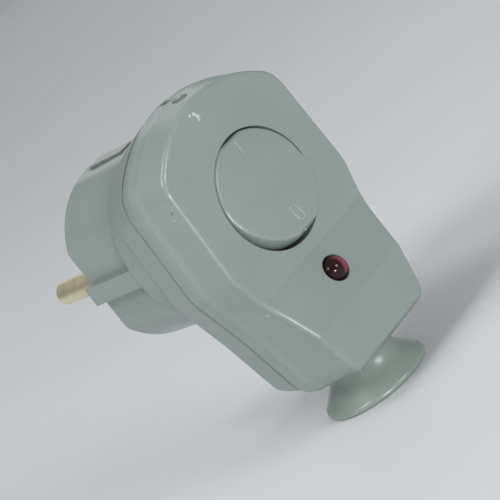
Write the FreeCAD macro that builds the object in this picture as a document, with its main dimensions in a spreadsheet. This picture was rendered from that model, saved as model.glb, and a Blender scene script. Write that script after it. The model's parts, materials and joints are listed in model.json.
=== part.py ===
import FreeCAD, Part
import math
import os
import re
import Sketcher
from FreeCAD import Placement, Rotation, Vector

# Switched angle plug: two round contact pins, a round rocker switch in the front face,
# a neon indicator below it and a flared bend protector at the bottom.
# The origin is the centre of the engagement face, halfway between the two pins.
# The pins point along +Y, the switch faces -Y and the cord leaves along -Z.
# Depths are counted forwards from the engagement face, towards the switch.

SIZES = {
    # contact pins and the round part that goes into the socket
    "pin_pitch": 19.0,
    "pin_radius": 2.4,
    "pin_root_radius": 2.7,
    "pin_reach": 19.0,
    "pin_tip_round": 1.1,
    "pin_flange_gap": 0.6,
    "pin_flange_thick": 1.5,
    "pin_tail_radius": 1.5,
    "round_radius": 18.7,
    "round_draft": 0.3,
    "round_edge": 0.7,
    "collar_step": 0.5,
    "collar_length": 4.9,
    "flat_cut": 2.8,
    "rib_sunk": 0.6,
    "rib_width": 4.0,
    "engagement_wall": 3.0,
    "round_wall": 2.4,
    "ledge_width": 5.5,
    # outline of the housing, seen from the front
    "apex_top": 23.3,
    "apex_cut": 4.05,
    "shoulder_slope": 36.0,
    "shoulder_cut": 0.8,
    "shoulder_round": 8.0,
    "bend_half": 21.9,
    "bend_drop": 7.5,
    "bend_round": 11.0,
    "waist_cut": 3.5,
    "waist_length": 12.0,
    "waist_round": 16.0,
    "foot_cut": 7.2,
    "foot_length": 17.6,
    "foot_round": 5.2,
    # levels of the housing, each as its rise over the one before it,
    # and how far each lies inside the widest outline
    "back_depth": 21.7,
    "back_inset": 2.3,
    "top_lean": 0.7,
    "heel_rise": 1.0,
    "heel_inset": 1.5,
    "seam_rise": 6.3,
    "seam_inset": 0.6,
    "seam_groove": 0.2,
    "seam_step": 0.35,
    "lip_back_rise": 1.2,
    "lip_back_inset": 0.12,
    "lip_middle_rise": 1.4,
    "lip_front_rise": 1.4,
    "lip_front_inset": 0.2,
    "crease_rise": 1.2,
    "crease_inset": 0.8,
    "crease_top_inset": 0.3,
    "crease_foot_inset": 0.25,
    "face_rise": 6.4,
    "face_inset": 2.1,
    "face_top_inset": 1.6,
    "face_foot_inset": 0.4,
    "brow_rise": 3.4,
    "brow_inset": 2.3,
    "brow_foot_inset": 0.5,
    "foot_bevel": 1.6,
    "foot_bevel_rise": 1.1,
    "face_edge_round": 0.9,
    "ramp_top": 14.5,
    "ramp_length": 11.0,
    "ramp_margin": 0.35,
    "wall": 2.0,
    "tongue_half": 4.0,
    "tongue_gap": 1.0,
    "tongue_thick": 1.4,
    "seat_gap": 0.1,
    "thin_gap": 0.05,
    "spare": 2.0,
    # pry notch at the top of the seam
    "notch_rise": 3.5,
    "notch_radius": 1.6,
    "notch_bite": 1.1,
    "nick_half": 0.9,
    # rocker switch
    "rocker_hole": 12.0,
    "rocker_gap": 0.25,
    "rocker_slack": 0.4,
    "roll_slack": 0.15,
    "pivot_sink": 3.8,
    "rocker_rise": 5.4,
    "rocker_dish": 1.1,
    "rocker_skirt": 1.8,
    "rocker_tilt": 8.5,
    "axle_radius": 1.2,
    "skirt_drop": 3.1,
    "socket_drop": 3.4,
    "frame_gap": 0.7,
    "frame_wall": 1.5,
    "frame_floor": 1.3,
    # contacts of the switch
    "pole_offset": 5.0,
    "plunger_radius": 1.6,
    "tip_gap": 0.12,
    "plunger_seat": 2.05,
    "socket_wall": 0.7,
    "socket_length": 4.6,
    "spring_wire": 0.5,
    "spring_gap": 0.3,
    "bridge_half": 8.5,
    "bridge_width": 4.0,
    "bridge_thick": 0.8,
    "bridge_lift": 0.83,
    "bridge_tilt": 7.0,
    "fulcrum_round": 0.8,
    "fulcrum_height": 1.1,
    "fulcrum_width": 3.0,
    "strip_thick": 0.6,
    "strip_width": 2.0,
    "pad_place": 7.4,
    "pad_radius": 1.0,
    "pad_height": 0.22,
    "tail_width": 3.0,
    "tail_thick": 0.8,
    # metal parts behind the pins
    "carrier_thick": 3.0,
    "link_gap": 2.8,
    "link_thick": 0.8,
    "link_width": 4.0,
    "sleeve_place": 10.0,
    "sleeve_bore": 2.5,
    "sleeve_wall": 0.9,
    "earth_gap": 1.8,
    "earth_thick": 0.8,
    "earth_width": 5.6,
    "riser_reach": 2.4,
    "clip_proud": 0.6,
    "clip_thick": 0.7,
    "clip_width": 3.6,
    "clip_tip": 4.2,
    "clip_room": 1.3,
    # cord terminals
    "terminal_gap": 2.0,
    "terminal_step": 4.0,
    "terminal_width": 6.0,
    "terminal_length": 7.0,
    "terminal_height": 6.3,
    "wire_bore": 1.4,
    "screw_radius": 1.25,
    "screw_head": 2.0,
    "screw_head_thick": 1.3,
    "screw_slot": 0.5,
    # cord clamp
    "clamp_rise": 3.6,
    "clamp_back": 6.1,
    "clamp_width": 3.4,
    "clamp_post_cut": 6.9,
    "clamp_post_radius": 2.0,
    "clamp_thick": 1.8,
    "clamp_saddle": 4.2,
    # screws that hold the cover
    "cover_screw_cut": 5.4,
    "cover_screw_gap": 3.0,
    "cover_post_radius": 2.1,
    "cover_screw_sink": 2.5,
    "cover_screw_length": 11.0,
    "boss_height": 3.3,
    # bend protector
    "guard_rise": 2.0,
    "guard_bore": 4.2,
    "guard_neck": 7.1,
    "guard_groove": 6.5,
    "guard_flange": 7.6,
    "guard_flange_thick": 1.3,
    "guard_seat_back": 2.4,
    "guard_bend_reach": 2.5,
    "guard_bend_round": 5.5,
    "guard_rim": 11.4,
    "guard_rim_reach": 6.9,
    "guard_reach": 7.9,
    "guard_rim_round": 0.6,
    "guard_brim_round": 0.8,
    "guard_mouth": 10.4,
    "guard_throat_reach": 2.5,
    # neon indicator
    "lens_place": 5.2,
    "lens_hole": 2.8,
    "lens_sunk": 0.5,
    "lens_length": 4.0,
    "neon_radius": 2.0,
    "neon_length": 5.5,
    "resistor_radius": 1.1,
    "resistor_length": 4.4,
    "resistor_lift": 2.5,
    "lead_radius": 0.3,
}

# places and sizes that follow from the sizes above
PLACES = {
    "collar_back": "back_depth - collar_length",
    "collar_radius": "round_radius + collar_step",
    "flat_half": "round_radius - flat_cut",
    "rib_reach": "round_radius - rib_sunk",
    "ledge_radius": "round_radius - ledge_width",
    "pin_flange_radius": "flat_half - wall - pin_flange_gap - pin_pitch / 2",
    "shoulder_half": "bend_half - shoulder_cut",
    "apex_round": "(shoulder_half - apex_cut) / sin(shoulder_slope)",
    "waist_half": "bend_half - waist_cut",
    "waist_drop": "bend_drop + waist_length",
    "foot_half": "bend_half - foot_cut",
    "foot_drop": "waist_drop + foot_length",
    "heel_depth": "back_depth + heel_rise",
    "seam_depth": "heel_depth + seam_rise",
    "lip_back": "seam_depth + lip_back_rise",
    "lip_middle": "lip_back + lip_middle_rise",
    "lip_front": "lip_middle + lip_front_rise",
    "crease_depth": "lip_front + crease_rise",
    "face_depth": "crease_depth + face_rise",
    "brow_depth": "face_depth + brow_rise",
    "notch_depth": "lip_front + notch_rise",
    "ramp_bottom": "ramp_top + ramp_length",
    "lens_drop": "ramp_top + lens_place",
    "rocker_radius": "rocker_hole - rocker_slack",
    "rocker_roll": "rocker_hole - roll_slack",
    "rocker_pivot": "face_depth - pivot_sink",
    "frame_inner": "rocker_hole + frame_gap",
    "earth_depth": "collar_back - earth_gap",
    "link_depth": "earth_depth - link_gap",
    "riser_place": "ledge_radius + riser_reach",
    "clip_top": "round_radius + clip_proud",
    "clip_foot": "sleeve_place + sleeve_bore + sleeve_wall + 2 * seat_gap",
    "guard_depth": "seam_depth + guard_rise",
    "guard_seat": "foot_drop - guard_seat_back",
    "guard_throat_drop": "foot_drop + guard_throat_reach",
    "guard_bend_drop": "foot_drop + guard_bend_reach",
    "guard_rim_drop": "foot_drop + guard_rim_reach",
    "guard_end": "foot_drop + guard_reach",
    "clamp_depth": "guard_depth + clamp_rise",
    "clamp_place": "foot_drop - clamp_back",
    "clamp_post": "foot_half - clamp_post_cut",
    "terminal_top": "clamp_place - clamp_post_radius - terminal_gap - terminal_length",
    "cover_screw_place": "waist_half - cover_screw_cut",
    "cover_screw_drop": "terminal_top - cover_screw_gap",
    "terminal_place": "cover_screw_place - terminal_step",
}

doc = FreeCAD.newDocument("switched_angle_plug")
sheet = doc.addObject("Spreadsheet::Sheet", "sizes")
for row, (alias, entry) in enumerate({**SIZES, **PLACES}.items(), start=1):
    sheet.set(f"A{row}", alias)
    sheet.set(f"B{row}", f"={entry}")
    sheet.setAlias(f"B{row}", alias)
doc.recompute()

NODES = []
NAMES = {*SIZES, *PLACES}


def linked(text):
    """Return an expression with the sheet's name put before each size in it."""
    return re.sub(r"[a-z][a-z_]+", lambda word: f"sizes.{word[0]}" if word[0] in NAMES else word[0], text)


def value(text):
    """Work out an expression of the sizes as a number."""
    return float(sheet.evalExpression(linked(text)))


def bind(thing, **expressions):
    """Bind properties of an object; Base_x stands for Placement.Base.x."""
    for name, text in expressions.items():
        path = "Placement.Base." + name[-1] if name.startswith("Base_") else name
        thing.setExpression(path, linked(text))
    return thing


def node(label, thing):
    """Name a finished sub-part."""
    thing.Label = label
    NODES.append(thing)
    return thing


# primitives

def box(x_range, depth_range, z_range):
    """Make a box; the depths run from the back to the front."""
    thing = doc.addObject("Part::Box", "box")
    bind(thing, Length=f"({x_range[1]}) - ({x_range[0]})", Base_x=x_range[0])
    bind(thing, Width=f"({depth_range[1]}) - ({depth_range[0]})", Base_y=f"-({depth_range[1]})")
    bind(thing, Height=f"({z_range[1]}) - ({z_range[0]})", Base_z=z_range[0])
    return thing


def rod_y(radius, x, z, back, front):
    """Make a cylinder along Y, between two depths."""
    thing = doc.addObject("Part::Cylinder", "rod")
    thing.Placement = Placement(Vector(), Rotation(Vector(1, 0, 0), -90))
    bind(thing, Radius=radius, Height=f"({front}) - ({back})")
    return bind(thing, Base_x=x, Base_y=f"-({front})", Base_z=z)


def rod_x(radius, x_range, depth, z):
    """Make a cylinder along X."""
    thing = doc.addObject("Part::Cylinder", "rod")
    thing.Placement = Placement(Vector(), Rotation(Vector(0, 1, 0), 90))
    bind(thing, Radius=radius, Height=f"({x_range[1]}) - ({x_range[0]})")
    return bind(thing, Base_x=x_range[0], Base_y=f"-({depth})", Base_z=z)


def rod_z(radius, x, depth, z_range):
    """Make a cylinder along Z."""
    thing = doc.addObject("Part::Cylinder", "rod")
    bind(thing, Radius=radius, Height=f"({z_range[1]}) - ({z_range[0]})")
    return bind(thing, Base_x=x, Base_y=f"-({depth})", Base_z=z_range[0])


def ball(radius, x, depth, z):
    """Make a sphere."""
    thing = doc.addObject("Part::Sphere", "ball")
    return bind(thing, Radius=radius, Base_x=x, Base_y=f"-({depth})", Base_z=z)


def ring_y(radius, tube, x, z, depth):
    """Make a torus round an axis along Y."""
    thing = doc.addObject("Part::Torus", "ring")
    thing.Placement = Placement(Vector(), Rotation(Vector(1, 0, 0), -90))
    bind(thing, Radius1=radius, Radius2=tube)
    return bind(thing, Base_x=x, Base_y=f"-({depth})", Base_z=z)


# booleans

def fuse(*pieces):
    """Join pieces into one solid, or into one group of separate solids."""
    if len(pieces) == 1:
        return pieces[0]
    thing = doc.addObject("Part::MultiFuse", "union")
    thing.Shapes = list(pieces)
    return thing


def cut(base, *tools):
    """Take tools away from a piece."""
    thing = doc.addObject("Part::Cut", "cut")
    thing.Base = base
    thing.Tool = fuse(*tools)
    return thing


def common(base, tool):
    """Keep what two pieces share."""
    thing = doc.addObject("Part::Common", "common")
    thing.Base = base
    thing.Tool = tool
    return thing


# sketches

def draw(sketch, corners):
    """Draw a closed outline through (across, up, rounding) corners; a rounding of None is sharp."""
    spots = [Vector(value(across), value(up), 0) for across, up, rounding in corners]
    rounds = [value(rounding) if rounding else 0.0 for across, up, rounding in corners]
    arrivals, departures, arcs = [], [], []
    for index, here in enumerate(spots):
        after = spots[(index + 1) % len(spots)]
        to_before = (spots[index - 1] - here).normalize()
        to_after = (after - here).normalize()
        opening = to_before.getAngle(to_after)
        reach = rounds[index] / math.tan(opening / 2)
        arrivals.append(here + to_before * reach)
        departures.append(here + to_after * reach)
        centre = here + (to_before + to_after).normalize() * (rounds[index] / math.sin(opening / 2))
        turns_left = to_before.cross(to_after).z < 0
        arcs.append((centre, turns_left))
    lines = []
    for index, start in enumerate(departures):
        end = arrivals[(index + 1) % len(spots)]
        lines.append(sketch.addGeometry(Part.LineSegment(start, end), False))
    for index, (across, up, rounding) in enumerate(corners):
        arriving, leaving = lines[index - 1], lines[index]
        if rounding:
            owner = round_corner(sketch, arriving, leaving, arrivals[index], departures[index],
                                 arcs[index], rounding, spots[index])
        else:
            sketch.addConstraint(Sketcher.Constraint("Coincident", arriving, 2, leaving, 1))
            owner = leaving
        place_point(sketch, owner, across, up)


def round_corner(sketch, arriving, leaving, arrival, departure, arc, rounding, spot):
    """Add one rounded corner and return the construction point that places it."""
    centre, turns_left = arc
    first, last = (arrival, departure) if turns_left else (departure, arrival)
    circle = Part.Circle(centre, Vector(0, 0, 1), value(rounding))
    start_angle = math.atan2(first.y - centre.y, first.x - centre.x)
    end_angle = math.atan2(last.y - centre.y, last.x - centre.x)
    if end_angle < start_angle:
        end_angle += 2 * math.pi
    bend = sketch.addGeometry(Part.ArcOfCircle(circle, start_angle, end_angle), False)
    arrival_end, departure_end = (1, 2) if turns_left else (2, 1)
    sketch.addConstraint(Sketcher.Constraint("Tangent", arriving, 2, bend, arrival_end))
    sketch.addConstraint(Sketcher.Constraint("Tangent", leaving, 1, bend, departure_end))
    size = sketch.addConstraint(Sketcher.Constraint("Radius", bend, value(rounding)))
    sketch.setExpression(f"Constraints[{size}]", linked(rounding))
    point = sketch.addGeometry(Part.Point(spot), True)
    sketch.addConstraint(Sketcher.Constraint("PointOnObject", point, 1, arriving))
    sketch.addConstraint(Sketcher.Constraint("PointOnObject", point, 1, leaving))
    return point


def place_point(sketch, owner, across, up):
    """Place a sketch point from the sketch's origin, by two bound distances."""
    for kind, text in (("DistanceX", across), ("DistanceY", up)):
        size = sketch.addConstraint(Sketcher.Constraint(kind, -1, 1, owner, 1, value(text)))
        sketch.setExpression(f"Constraints[{size}]", linked(text))


def body_sketch(body, role, depth=None):
    """Make a sketch on one of a body's own planes, moved forwards to a depth."""
    plane = [feature for feature in body.Origin.OriginFeatures if feature.Role == role][0]
    sketch = body.newObject("Sketcher::SketchObject", "sketch")
    sketch.AttachmentSupport = [(plane, "")]
    sketch.MapMode = "FlatFace"
    if depth:
        sketch.setExpression("AttachmentOffset.Base.z", linked(depth))
    return sketch


def prism(corners, half_width):
    """Extrude an outline of (depth, height) corners to both sides along X."""
    sketch = doc.addObject("Sketcher::SketchObject", "sketch")
    sketch.Placement = Placement(Vector(), Rotation(Vector(0, 1, 0), Vector(0, 0, 1), Vector(1, 0, 0)))
    draw(sketch, [(f"-({depth})", up, None) for depth, up in corners])
    thing = doc.addObject("Part::Extrusion", "prism")
    thing.Base = sketch
    thing.DirMode = "Normal"
    thing.Solid = True
    thing.Symmetric = True
    return bind(thing, LengthFwd=f"2 * ({half_width})")


# the housing's outline

APEX = "apex_top + apex_round * (1 / cos(shoulder_slope) - 1)"


def housing_corners(inset, top_inset=None, foot_inset=None):
    """Return the corners of the housing's outline, drawn in by an inset; top and foot may have their own."""
    top_inset = top_inset or inset
    foot_inset = foot_inset or inset
    # the two sloping sides meet above the rounded top, so their meeting point moves further than the inset
    apex = f"({APEX}) - ({top_inset}) / cos(shoulder_slope)"
    half = f"shoulder_half - ({inset})"
    shoulder = f"({apex}) - ({half}) * tan(shoulder_slope)"
    right = [
        (half, shoulder, f"shoulder_round - ({inset})"),
        (f"bend_half - ({inset})", "-bend_drop", f"bend_round - ({inset})"),
        (f"waist_half - ({inset})", "-waist_drop", f"waist_round + ({inset})"),
        (f"foot_half - ({inset})", f"({foot_inset}) - foot_drop", f"foot_round - ({inset}) / 2"),
    ]
    left = [(f"-({across})", up, rounding) for across, up, rounding in right]
    top = ("0", apex, f"apex_round - ({inset})")
    return [top] + left + right[::-1]


def housing_loft(body, kind, levels):
    """Loft the housing's outline through levels, each a depth with one to three insets."""
    sketches = []
    for depth, *insets in levels:
        sketch = body_sketch(body, "XZ_Plane", depth)
        draw(sketch, housing_corners(*insets))
        sketches.append(sketch)
    loft = body.newObject(kind, "loft")
    loft.Profile = sketches[0]
    loft.Sections = sketches[1:]
    loft.Ruled = True
    return loft


def tilted_rod(radius, start, end):
    """Make a cylinder square to the ramp, between two heights over it, at the indicator."""
    thing = doc.addObject("Part::Cylinder", "rod")
    thing.Placement = Placement(Vector(), Rotation(Vector(1, 0, 0), 90))
    thing.setExpression("Placement.Rotation.Angle", linked(f"90 deg - {RAMP_ANGLE}"))
    bind(thing, Radius=radius, Height=f"({end}) - ({start})")
    depth, height = over_ramp(start)
    return bind(thing, Base_y=f"-({depth})", Base_z=height)


def over_ramp(lift):
    """Return the depth and height of a point on the indicator's axis, lifted off the ramp."""
    depth = f"face_depth + (lens_drop - ramp_top) * tan({RAMP_ANGLE}) + ({lift}) * cos({RAMP_ANGLE})"
    height = f"({lift}) * sin({RAMP_ANGLE}) - lens_drop"
    return depth, height


def tilt(thing, depth, angle):
    """Turn a piece about an X axis that lies at a depth, at height 0."""
    thing.Placement = Placement(Vector(), Rotation(Vector(1, 0, 0), 1))
    thing.setExpression("Placement.Rotation.Angle", linked(angle))
    return bind(thing, Base_y=f"-({depth}) * (1 - cos({angle}))", Base_z=f"({depth}) * sin({angle})")


def swing(thing, angle):
    """Turn a primitive about the rocker's pivot."""
    carrier = doc.addObject("Part::Compound", "carrier")
    carrier.Links = [thing]
    return tilt(carrier, "rocker_pivot", angle)


def slotted_screw(x, z, back, seat, slot_along_x=True):
    """Make a screw with its shank from a depth up to its seat and its head in front of the seat."""
    shank = rod_y("screw_radius", x, z, back, seat)
    head = rod_y("screw_head", x, z, seat, f"({seat}) + screw_head_thick")
    groove = (f"({seat}) + screw_head_thick - screw_slot", f"({seat}) + 2 * screw_head_thick")
    wide = ("-2 * screw_head", "2 * screw_head")
    thin = ("-screw_slot / 2", "screw_slot / 2")
    across, up = (wide, thin) if slot_along_x else (thin, wide)
    slot = box([f"({x}) + ({edge})" for edge in across], groove, [f"({z}) + ({edge})" for edge in up])
    return cut(fuse(shank, head), slot)


# shared places, each worked out from the sizes

RAMP_ANGLE = "atan((brow_depth - face_depth) / (ramp_bottom - ramp_top))"
FLOOR = "back_depth + wall"
CEILING = "face_depth - wall"
FRAME_OUTER = "frame_inner + frame_wall"
FRAME_TOP = f"{FLOOR} + frame_floor"
FULCRUM = f"{FRAME_TOP} + fulcrum_height"
PLUNGER_TIP = f"{FULCRUM} + bridge_lift + bridge_thick + tip_gap"
PLUNGER_END = "rocker_pivot - plunger_seat"
SOCKET_MOUTH = "rocker_pivot - socket_drop"
SOCKET_END = f"{SOCKET_MOUTH} + socket_length"
CAP_UNDERSIDE = "rocker_pivot + rocker_rise - rocker_dish - rocker_skirt"
ROUND_HOLLOW = "round_radius - round_wall"
FLAT_HOLLOW = "flat_half - wall"
BOSS_TOP = f"{FLOOR} + boss_height"
TERMINAL_FRONT = f"{FLOOR} + terminal_height"
TERMINAL_SCREW = "terminal_top + terminal_length / 2"
LINK_FRONT = "link_depth + link_thick"
EARTH_FRONT = "earth_depth + earth_thick"
SLEEVE_OUTER = "sleeve_bore + sleeve_wall"
CLIP_SLOT_END = "earth_depth + 4 * seat_gap"
BROW_ROOM_END = "brow_foot_inset + foot_bevel_rise + wall - foot_drop"
SIGNS = ("-", "")

# a flat surface that leans back by less than this many degrees belongs to the front
FRONT_LEAN = 30


def hollow_disc(gap, back, front):
    """Make a disc of the round part's hollow, with its two flats, drawn in by a gap."""
    disc = rod_y(f"{ROUND_HOLLOW} - ({gap})", "0", "0", back, front)
    half = f"{FLAT_HOLLOW} - ({gap})"
    band = box((f"-({half})", half), (back, front), ("-round_radius", "round_radius"))
    return common(disc, band)


def guard_room():
    """Make the room for the bend protector's groove and inner flange in the bottom wall."""
    hole = rod_z("guard_groove + thin_gap", "0", "guard_depth", ("-foot_drop - spare", "-guard_seat"))
    seat = rod_z("guard_flange + thin_gap", "0", "guard_depth",
                 ("-guard_seat - thin_gap", "guard_flange_thick + wall / 2 - guard_seat"))
    return [hole, seat]


# front cover

def front_cover():
    """Make the cover: lip, crease, flat face, ramp and the raised lower face, hollow inside."""
    body = doc.addObject("PartDesign::Body", "cover_body")
    housing_loft(body, "PartDesign::AdditiveLoft", [
        ("seam_depth", "seam_inset"), ("lip_back", "lip_back_inset"), ("lip_middle", "0"),
        ("lip_front", "lip_front_inset"),
        ("crease_depth", "crease_inset", "crease_top_inset", "crease_foot_inset"),
        ("face_depth", "face_inset", "face_top_inset", "face_foot_inset"),
        ("brow_depth", "brow_inset", "face_top_inset", "brow_foot_inset")])
    side = body_sketch(body, "YZ_Plane")
    draw(side, [
        ("-face_depth", "-ramp_top", None), ("-face_depth", "apex_top + spare", None),
        ("-brow_depth - spare", "apex_top + spare", None), ("-brow_depth - spare", "-ramp_bottom", None),
        ("-brow_depth", "-ramp_bottom", None)])
    side_pocket(body, side)
    foot = body_sketch(body, "YZ_Plane")
    foot_level = "brow_foot_inset - foot_drop"
    draw(foot, [
        ("-brow_depth", f"{foot_level} + foot_bevel_rise", None),
        ("-brow_depth - spare", f"{foot_level} + foot_bevel_rise", None),
        ("-brow_depth - spare", f"{foot_level} - foot_bevel_rise", None),
        ("2 * foot_bevel - brow_depth", f"{foot_level} - foot_bevel_rise", None)])
    bevel = side_pocket(body, foot)
    doc.recompute()
    round_face_edges(body, bevel)
    housing_loft(body, "PartDesign::SubtractiveLoft", [
        ("seam_depth", "seam_inset + wall"),
        ("crease_depth", "crease_inset + wall", "crease_inset + wall", "crease_foot_inset + wall"),
        (CEILING, "face_inset + wall", "face_inset + wall", "face_foot_inset + wall")])
    posts = []
    bores = []
    for sign in SIGNS:
        place = (f"{sign}cover_screw_place", "-cover_screw_drop")
        posts.append(rod_y("cover_post_radius", *place, BOSS_TOP, f"{CEILING} + wall / 2"))
        bores.append(rod_y("screw_radius + thin_gap", *place, f"{BOSS_TOP} - spare",
                           f"{FLOOR} + cover_screw_length"))
    inner = "foot_half - brow_inset - wall"
    brow_room = prism([
        (f"{CEILING} - wall / 2", "-ramp_top - ramp_margin"), (CEILING, "-ramp_top - ramp_margin"),
        ("brow_depth - wall", "-ramp_bottom - ramp_margin"), ("brow_depth - wall", BROW_ROOM_END),
        (f"{CEILING} - wall / 2", BROW_ROOM_END)], inner)
    hole = rod_y("rocker_hole", "0", "0", f"{CEILING} - spare", "face_depth + spare")
    window = tilted_rod("lens_hole", "-2 * lens_length", "spare")
    notch = rod_z("notch_radius", "0", "notch_depth",
                  ("apex_top - notch_bite", "apex_top + spare"))
    nick = rod_y("nick_half", "0", "apex_top", "lip_middle", "crease_depth")
    return cut(fuse(body, *posts), *bores, brow_room, hole, window, notch, nick, *guard_room())


def side_pocket(body, profile):
    """Cut a side profile through the cover's whole width."""
    pocket = body.newObject("PartDesign::Pocket", "side_pocket")
    pocket.Profile = profile
    pocket.SideType = "Symmetric"
    return bind(pocket, Length="4 * bend_half")


def round_face_edges(body, base):
    """Round the edges between the side walls and the flat front: the face, the ramp and the brow."""
    front = [face for face in base.Shape.Faces if isinstance(face.Surface, Part.Plane)
             and abs(face.Surface.Axis.y) > math.cos(math.radians(FRONT_LEAN))
             and face.BoundBox.YMax < value("thin_gap - face_depth")]
    names = []
    for index, edge in enumerate(base.Shape.Edges, start=1):
        owners = [face for face in front if any(edge.isSame(other) for other in face.Edges)]
        if len(owners) == 1:
            names.append(f"Edge{index}")
    rounding = body.newObject("PartDesign::Fillet", "face_edge")
    rounding.Base = (base, names)
    return bind(rounding, Radius="face_edge_round")


# rear shell

def rear_shell():
    """Make the rear shell: heel, seam step, collar and the round part with its flats and ribs."""
    body = doc.addObject("PartDesign::Body", "rear_body")
    seam_base = "seam_depth - seam_step"
    housing_loft(body, "PartDesign::AdditiveLoft", [
        (seam_base, "seam_inset"), ("heel_depth", "heel_inset", "heel_inset + top_lean"),
        ("back_depth", "back_inset", "back_inset + top_lean")])
    seam_ring_inset = "seam_inset + seam_groove"
    housing_loft(body, "PartDesign::AdditiveLoft", [
        ("seam_depth", seam_ring_inset), (seam_base, seam_ring_inset)])
    housing_loft(body, "PartDesign::SubtractiveLoft", [
        ("seam_depth", "seam_inset + wall"), (FLOOR, "back_inset + wall", "back_inset + top_lean + wall")])
    collar = rod_y("collar_radius", "0", "0", "collar_back", "back_depth + wall / 2")
    drum = doc.addObject("Part::Cone", "drum")
    drum.Placement = Placement(Vector(), Rotation(Vector(1, 0, 0), -90))
    bind(drum, Radius1="round_radius + round_draft", Radius2="round_radius")
    bind(drum, Height="collar_back - round_edge", Base_y="-collar_back")
    rim = ring_y("round_radius - round_edge", "round_edge", "0", "0", "round_edge")
    core = rod_y("round_radius - round_edge", "0", "0", "0", "collar_back + wall / 2")
    shell = fuse(body, collar, drum, rim, core)
    reach = ("-2 * collar_radius", "2 * collar_radius")
    sides = []
    ribs = []
    for sign in SIGNS:
        edges = [f"{sign}flat_half", f"{sign}2 * collar_radius"]
        rib_edges = [f"{sign}(flat_half - wall / 2)", f"{sign}rib_reach"]
        if sign:
            edges.reverse()
            rib_edges.reverse()
        sides.append(box(edges, ("-spare", "collar_back"), reach))
        ribs.append(box(rib_edges, ("0", "collar_back + wall / 2"), ("-rib_width / 2", "rib_width / 2")))
    shell = fuse(cut(shell, *sides), *ribs)
    shell = cut(shell, *rear_rooms())
    return cut(fuse(shell, *rear_bosses()), *rear_bores())


def rear_rooms():
    """Make the hollow of the round part and the openings in its wall."""
    rooms = [hollow_disc("0", "engagement_wall", "collar_back")]
    rooms.append(rod_y("ledge_radius", "0", "0", "collar_back - spare", f"{FLOOR} + spare"))
    for sign in SIGNS:
        rooms.append(rod_y("pin_root_radius + thin_gap", f"{sign}pin_pitch / 2", "0",
                           "-spare", "2 * engagement_wall"))
    rooms.append(rod_y(f"{SLEEVE_OUTER} + thin_gap", "0", "sleeve_place", "-spare", "2 * engagement_wall"))
    half = "clip_width / 2 + 3 * seat_gap"
    across = (f"-({half})", half)
    slot_floor = "clip_top - clip_thick - clip_room"
    for top in (True, False):
        slot = (slot_floor, "round_radius + spare")
        passage = ("clip_foot + spare / 2", f"{slot_floor} + spare / 4")
        if not top:
            slot = (f"-({slot[1]})", f"-({slot[0]})")
            passage = (f"-({passage[1]})", f"-({passage[0]})")
        rooms.append(box(across, ("clip_tip - 5 * seat_gap", CLIP_SLOT_END), slot))
        rooms.append(box(across, ("earth_depth - clip_thick - 5 * seat_gap", CLIP_SLOT_END), passage))
    riser = ("-(riser_place + 4 * seat_gap)", "spare - ledge_radius")
    half = "earth_width / 2 + 3 * seat_gap"
    rooms.append(box((f"-({half})", half), ("collar_back - spare", f"{FLOOR} + spare"), riser))
    return rooms


def rear_bosses():
    """Make the bosses, clamp posts, saddle and tongue that stand on the rear shell's floor."""
    root = f"{FLOOR} - wall / 2"
    pieces = []
    for sign in SIGNS:
        pieces.append(rod_y("cover_post_radius + wall / 4", f"{sign}cover_screw_place",
                            "-cover_screw_drop", root, BOSS_TOP))
        pieces.append(rod_y("clamp_post_radius", f"{sign}clamp_post", "-clamp_place", root, "clamp_depth"))
    half = "clamp_post - clamp_post_radius / 2"
    pieces.append(box((f"-({half})", half), (root, "guard_depth - clamp_saddle"),
                      ("-clamp_place - clamp_width / 2", "clamp_width / 2 - clamp_place")))
    tongue = "apex_top - seam_inset - wall - tongue_gap"
    pieces.append(box(("-tongue_half", "tongue_half"), (root, "lip_front"),
                      (f"{tongue} - tongue_thick", tongue)))
    return pieces


def rear_bores():
    """Make the screw holes and the bend protector's room."""
    bores = guard_room()
    for sign in SIGNS:
        place = (f"{sign}cover_screw_place", "-cover_screw_drop")
        bores.append(rod_y("screw_head + seat_gap", *place, "back_depth - spare",
                           "back_depth + cover_screw_sink"))
        bores.append(rod_y("screw_radius + seat_gap", *place, "back_depth", f"{BOSS_TOP} + spare"))
        bores.append(rod_y("screw_radius + thin_gap", f"{sign}clamp_post", "-clamp_place",
                           "guard_depth - clamp_saddle", "clamp_depth + spare"))
    return bores


# switch

def switch_frame():
    """Make the round frame that carries the rocker and the switch contacts."""
    cup = cut(rod_y(FRAME_OUTER, "0", "0", FLOOR, CEILING),
              rod_y("frame_inner", "0", "0", FRAME_TOP, f"{CEILING} + spare"))
    rests = []
    gaps = [rod_x("axle_radius + thin_gap", ("-2 * frame_inner", "2 * frame_inner"), "rocker_pivot", "0")]
    for sign in SIGNS:
        middle = f"{sign}pole_offset"
        half = "(strip_width / 2 + seat_gap)"
        rests.append(box((f"{middle} - strip_width / 2", f"{middle} + strip_width / 2"),
                         (f"{FRAME_TOP} - frame_floor / 2", f"{FRAME_TOP} + strip_thick"),
                         ("pad_place - strip_width / 2", "pad_place + strip_width / 2")))
        gaps.append(box((f"{middle} - {half}", f"{middle} + {half}"),
                        (FRAME_TOP, f"{FRAME_TOP} + strip_thick + seat_gap"),
                        (f"-({FRAME_OUTER} + spare)", "spare - frame_inner")))
        gaps.append(box((f"{middle} - tail_thick / 2 - seat_gap", f"{middle} + tail_thick / 2 + seat_gap"),
                        (f"{FLOOR} - spare", f"{FRAME_TOP} + spare"),
                        ("-tail_width / 2 - seat_gap", "tail_width / 2 + seat_gap")))
    return cut(fuse(cup, *rests), *gaps)


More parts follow.
